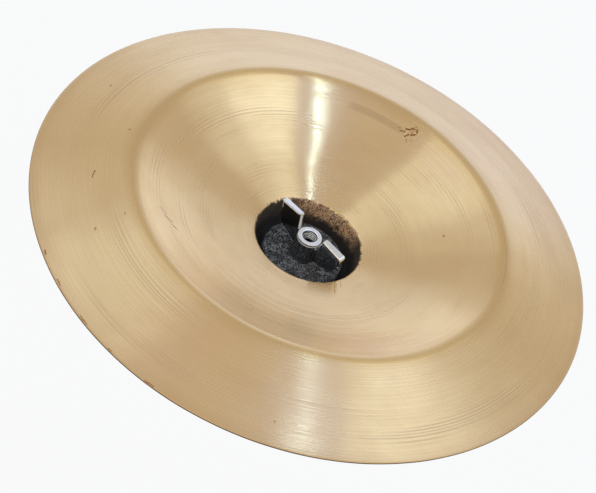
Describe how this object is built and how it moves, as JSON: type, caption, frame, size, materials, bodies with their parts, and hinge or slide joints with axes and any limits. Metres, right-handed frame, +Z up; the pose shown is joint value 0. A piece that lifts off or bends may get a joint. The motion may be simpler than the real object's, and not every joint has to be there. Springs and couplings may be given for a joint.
{
  "type": "china cymbal",
  "caption": "Bronze china cymbal with a reversed flange, hung bell down on a threaded rod end and held between two felts by a pressed wing nut.",
  "frame": {"origin": "centre of the mounting rod's lower end face", "axes": "+Z up along the rod, towards the open side of the cymbal; +X along the wings of the nut at rest"},
  "size_m": [0.3048, 0.3048, 0.0993],
  "materials": {
    "bronze": "lathed with fine concentric grooves, raw inside the bell",
    "felt": "dense dyed wool felt",
    "plated_steel": "bright plated",
    "rod_steel": "bright plated",
    "seat_steel": "zinc plated",
    "sleeve_nylon": "moulded"
  },
  "bodies": {
    "stand": {"mounting_rod": "rod_steel", "seat_nut": "seat_steel", "seat_washer": "seat_steel", "sleeve": "sleeve_nylon"},
    "lower_cushion": {"lower_felt": "felt"},
    "upper_cushion": {"upper_felt": "felt"},
    "cymbal": {"cymbal": "bronze"},
    "nut_bush": {"wing_nut_bush": "plated_steel"},
    "nut_body": {"wing_nut_body": "plated_steel"}
  },
  "joints": [
    {"name": "cymbal_rock_x", "type": "hinge", "parent": "stand", "child": "lower_cushion", "pos_m": [0, 0, 0.05325], "axis": [1, 0, 0], "range_deg": [-6, 6], "stiffness_Nm_per_rad": 1.5, "deforming": ["lower_felt"]},
    {"name": "cymbal_rock_y", "type": "hinge", "parent": "lower_cushion", "child": "upper_cushion", "pos_m": [0, 0, 0.05325], "axis": [0, 1, 0], "range_deg": [-6, 6], "stiffness_Nm_per_rad": 1.5, "deforming": ["upper_felt"]},
    {"name": "cymbal_spin", "type": "hinge", "parent": "upper_cushion", "child": "cymbal", "pos_m": [0, 0, 0.05325], "axis": [0, 0, 1], "continuous": true},
    {"name": "wing_nut_travel", "type": "slide", "parent": "stand", "child": "nut_bush", "axis": [0, 0, 1], "range_m": [0, 0.0075]},
    {"name": "wing_nut_turn", "type": "hinge", "parent": "nut_bush", "child": "nut_body", "pos_m": [0, 0, 0.0623], "axis": [0, 0, 1], "range_deg": [0, 2170]}
  ],
  "couplings": [
    {"joint": "wing_nut_turn", "follows": "wing_nut_travel", "rad_per_m": 5026.5}
  ]
}
